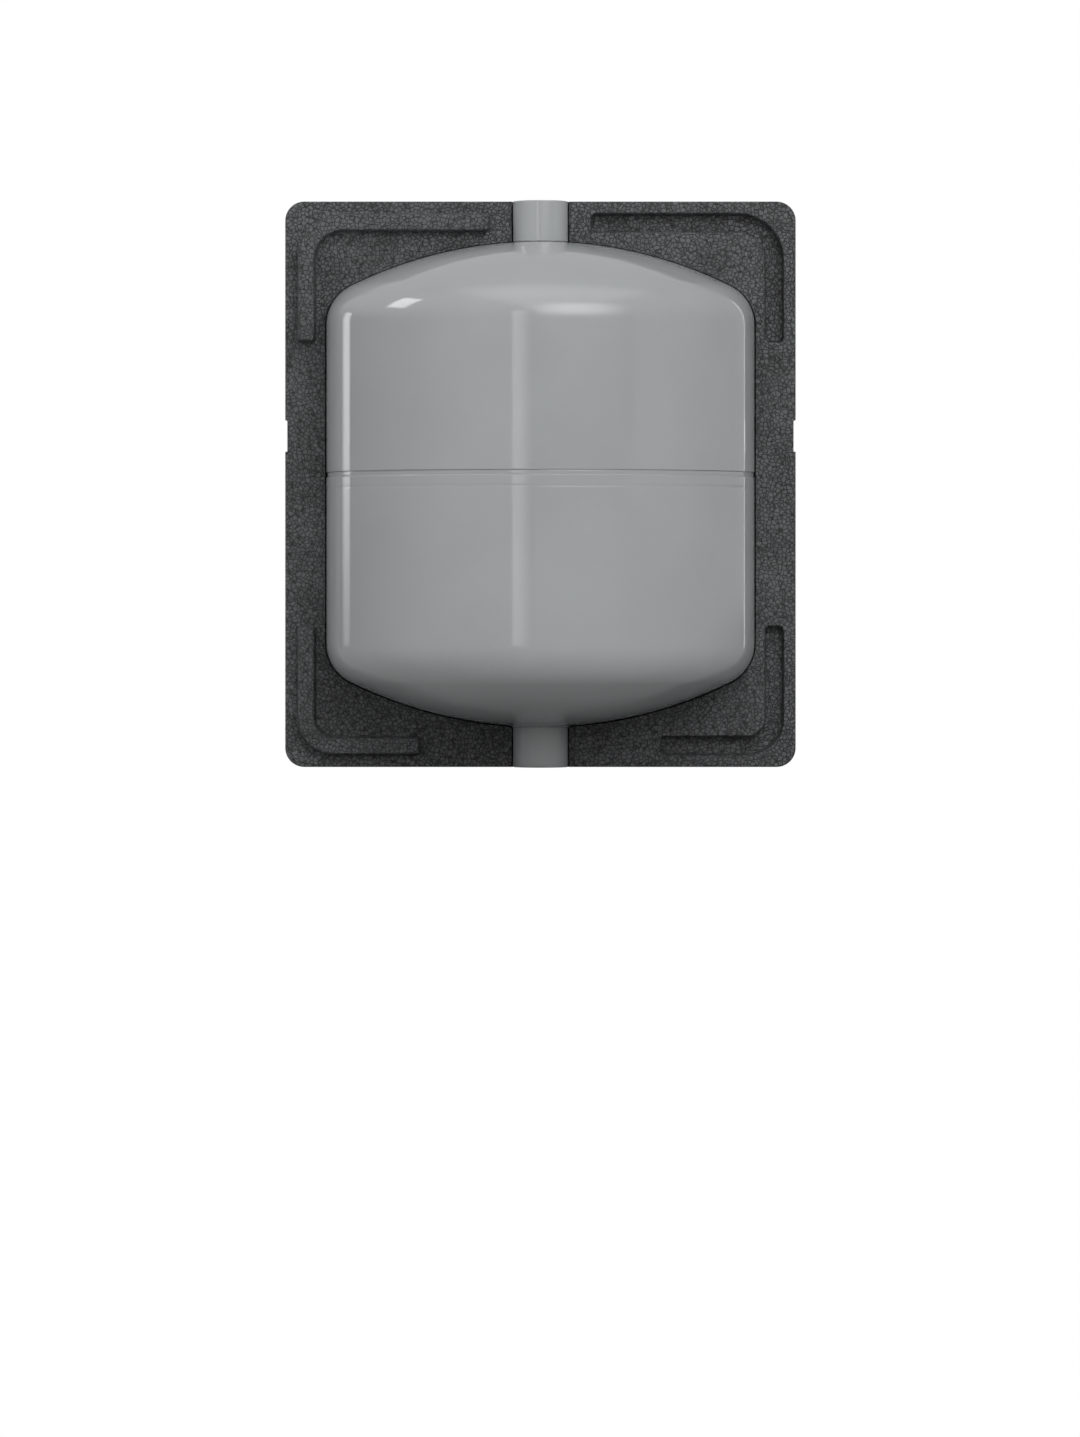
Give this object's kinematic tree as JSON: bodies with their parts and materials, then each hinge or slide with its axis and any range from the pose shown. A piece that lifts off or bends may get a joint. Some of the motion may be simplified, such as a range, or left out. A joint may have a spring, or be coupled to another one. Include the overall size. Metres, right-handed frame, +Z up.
{
  "type": "expansion vessel",
  "caption": "Steel diaphragm expansion vessel with a dished top and bottom and a stub at each end, in the rear half of a moulded foam insulation box.",
  "frame": {"origin": "centre of the water connection's mouth, in the plane of the insulation's bottom face", "axes": "+Z up along the vessel's axis, +Y into the rear insulation half, whose parting face is the plane y = 0"},
  "size_m": [0.334, 0.307, 0.37],
  "materials": {
    "vessel_paint": "gloss",
    "bare_steel": "satin",
    "brass": "satin",
    "spring_steel": "satin",
    "diaphragm_rubber": "matte",
    "seal_rubber": "matte",
    "black_plastic": "matte",
    "bead_foam": "matte"
  },
  "bodies": {
    "vessel": {"upper_shell": "vessel_paint", "lower_shell": "vessel_paint", "shell_seam_weld": "vessel_paint", "diaphragm_clamp_ring": "bare_steel", "connection_socket": "vessel_paint", "connection_weld": "vessel_paint", "port_guard_plate": "bare_steel", "valve_collar": "vessel_paint", "collar_weld": "vessel_paint", "valve_boss": "vessel_paint", "valve_boss_weld": "vessel_paint", "valve_stem": "brass", "valve_stem_seal": "seal_rubber", "valve_core_barrel": "brass", "valve_core_seal": "seal_rubber", "valve_spring": "spring_steel"},
    "insulation": {"rear_insulation": "bead_foam"},
    "plug": {"collar_plug": "black_plastic"},
    "cap_seal": {"valve_cap_seal": "seal_rubber"},
    "cap": {"valve_cap": "black_plastic"},
    "pin": {"valve_pin": "brass", "valve_pin_seal": "seal_rubber"},
    "membrane": {"diaphragm": "diaphragm_rubber"}
  },
  "joints": [
    {"name": "insulation_pull_off", "type": "slide", "parent": "vessel", "child": "insulation", "axis": [0, 1, 0], "range_m": [0, 0.18]},
    {"name": "collar_plug_pull", "type": "slide", "parent": "vessel", "child": "plug", "axis": [0, 0, 1], "range_m": [0, 0.03]},
    {"name": "valve_cap_lift", "type": "slide", "parent": "vessel", "child": "cap_seal", "axis": [0, 0, 1], "range_m": [0, 0.00556]},
    {"name": "valve_cap_turn", "type": "hinge", "parent": "cap_seal", "child": "cap", "pos_m": [0, 0, 0.356], "axis": [0, 0, 1], "range_deg": [0, 2520]},
    {"name": "valve_pin_press", "type": "slide", "parent": "vessel", "child": "pin", "axis": [0, 0, -1], "range_m": [0, 0.001], "stiffness_N_per_m": 1500, "springref_m": -0.0007, "deforming": ["valve_spring"]},
    {"name": "diaphragm_travel", "type": "slide", "parent": "vessel", "child": "membrane", "axis": [0, 0, 1], "range_m": [0, 0.11], "deforming": ["diaphragm"]}
  ],
  "couplings": [
    {"joint": "valve_cap_turn", "follows": "valve_cap_lift", "rad_per_m": 7913.3}
  ]
}
